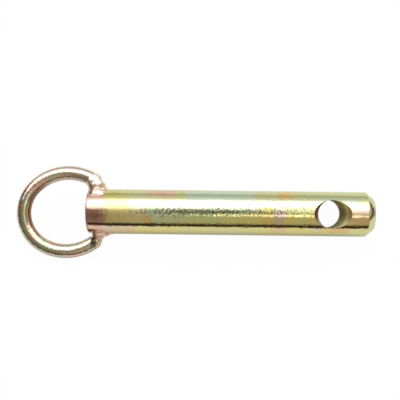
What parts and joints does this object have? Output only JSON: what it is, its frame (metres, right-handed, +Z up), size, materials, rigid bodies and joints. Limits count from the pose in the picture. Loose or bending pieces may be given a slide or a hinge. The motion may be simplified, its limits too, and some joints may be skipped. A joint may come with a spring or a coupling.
{
  "type": "top link pin",
  "caption": "Straight steel pin with a tapered nose and a cross hole for a linchpin, and an open wire ring welded to its other end as a handle.",
  "frame": {"origin": "on the axis of the bar, where its full diameter begins past the welds", "axes": "+X along the bar towards its nose, +Z up from the surface that the pin lies on"},
  "size_m": [0.1513, 0.0368, 0.019],
  "materials": {
    "bar": "yellow zinc plate, iridescent",
    "wire": "yellow zinc plate over drawn wire, iridescent",
    "weld": "yellow zinc plate over rough weld metal"
  },
  "bodies": {
    "root": {"pin_shank": "bar", "ring_handle": "wire", "weld_bead_high": "weld", "weld_bead_low": "weld"}
  },
  "joints": []
}
